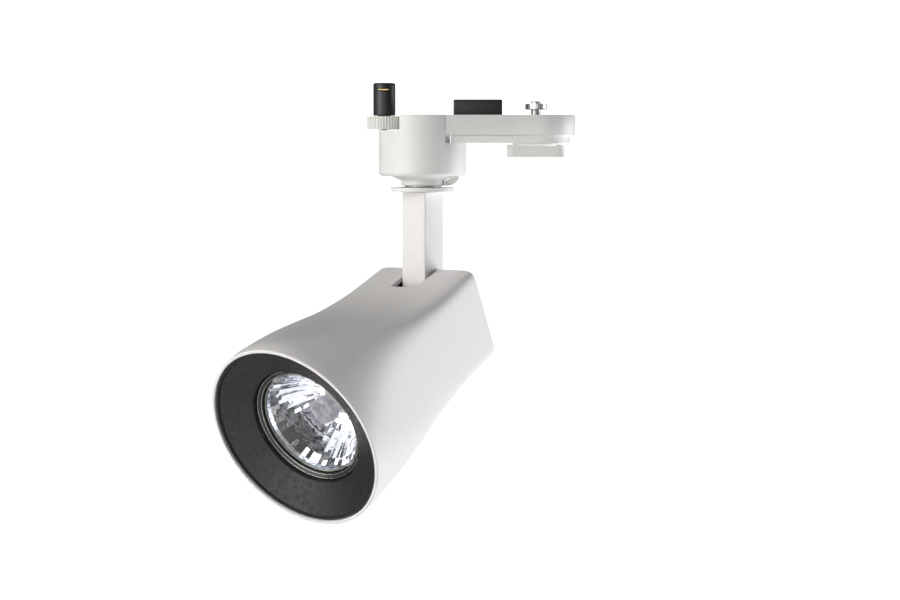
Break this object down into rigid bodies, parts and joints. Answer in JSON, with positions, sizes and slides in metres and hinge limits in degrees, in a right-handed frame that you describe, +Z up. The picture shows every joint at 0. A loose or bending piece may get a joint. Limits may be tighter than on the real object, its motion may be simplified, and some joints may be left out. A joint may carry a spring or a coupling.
{
  "type": "track spotlight",
  "caption": "White track spotlight: single-circuit track adapter, swivelling square stem and tilting flared head with a reflector lamp.",
  "frame": {"origin": "on the swivel axis, on the adapter's flat top that bears on the track's underside", "axes": "+Z up into the track, +X along the track towards the lock knob; the head points down towards -X and -Y"},
  "size_m": [0.1602, 0.1351, 0.1914],
  "materials": {
    "white_plastic": "satin moulded thermoplastic, white",
    "white_coat": "fine-texture white powder coat on aluminium",
    "black_coat": "matt black coat on aluminium",
    "black_plastic": "matt black thermoplastic",
    "grey_plastic": "satin moulded thermoplastic, pale grey",
    "steel": "zinc-plated steel",
    "brass": "bright brass",
    "ceramic": "unglazed steatite",
    "mirror_glass": "faceted dichroic mirror coat on glass",
    "clear_glass": "clear pressed glass",
    "frosted_glass": "frosted cap over the burner",
    "lead_brown": "brown silicone insulation",
    "lead_blue": "blue silicone insulation"
  },
  "bodies": {
    "adapter": {"adapter_housing": "white_plastic", "adapter_cover": "white_plastic", "guide_key": "black_plastic", "earth_contact": "brass", "arm_lid": "white_plastic", "lid_screw_1": "steel", "lid_screw_2": "steel", "terminal_block": "ceramic", "terminal_screw_1": "brass", "terminal_screw_2": "brass", "block_lead_live": "lead_brown", "block_lead_neutral": "lead_blue", "swivel_bush": "white_plastic", "swivel_stop": "grey_plastic"},
    "selector": {"selector_wheel": "grey_plastic", "contact_turret": "black_plastic", "contact_blade_live": "brass", "contact_blade_neutral": "brass"},
    "lock": {"lock_knob": "grey_plastic", "lock_shaft": "steel", "lock_wing": "steel"},
    "stem": {"swivel_disc": "white_coat", "swivel_washer": "steel", "threaded_nipple": "steel", "nipple_nut": "brass", "stem_tube": "white_coat", "stem_insert": "steel", "stem_lead_live": "lead_brown", "stem_lead_neutral": "lead_blue"},
    "head": {"lamp_housing": "white_coat", "front_baffle": "black_coat", "lamp_retaining_ring": "black_coat", "lamp_front_glass": "clear_glass", "lamp_reflector": "mirror_glass", "burner_cap": "frosted_glass", "lamp_capsule": "clear_glass", "lamp_base": "ceramic", "lamp_pin_1": "steel", "lamp_pin_2": "steel", "lampholder": "ceramic", "holder_bracket": "steel", "holder_screw_1": "steel", "holder_screw_2": "steel", "pivot_bracket": "steel", "bracket_screw_1": "steel", "bracket_screw_2": "steel", "pivot_bolt": "steel", "pivot_nut": "steel", "friction_washer_1": "black_plastic", "friction_washer_2": "black_plastic", "earth_screw": "brass", "head_lead_live": "lead_brown", "head_lead_neutral": "lead_blue"}
  },
  "joints": [
    {"name": "swivel", "type": "hinge", "parent": "adapter", "child": "stem", "pos_m": [0, 0, -0.033], "axis": [0, 0, 1], "range_deg": [-43, 285]},
    {"name": "head_tilt", "type": "hinge", "parent": "stem", "child": "head", "pos_m": [0, 0, -0.087], "axis": [0.809, -0.5878, 0], "range_deg": [-25, 65]},
    {"name": "selector_turn", "type": "hinge", "parent": "adapter", "child": "selector", "pos_m": [-0.0174, 0, -0.003], "axis": [0, 0, 1], "range_deg": [0, 90]},
    {"name": "lock_turn", "type": "hinge", "parent": "adapter", "child": "lock", "pos_m": [0.0514, 0, -0.01], "axis": [0, 0, 1], "range_deg": [0, 90]}
  ]
}
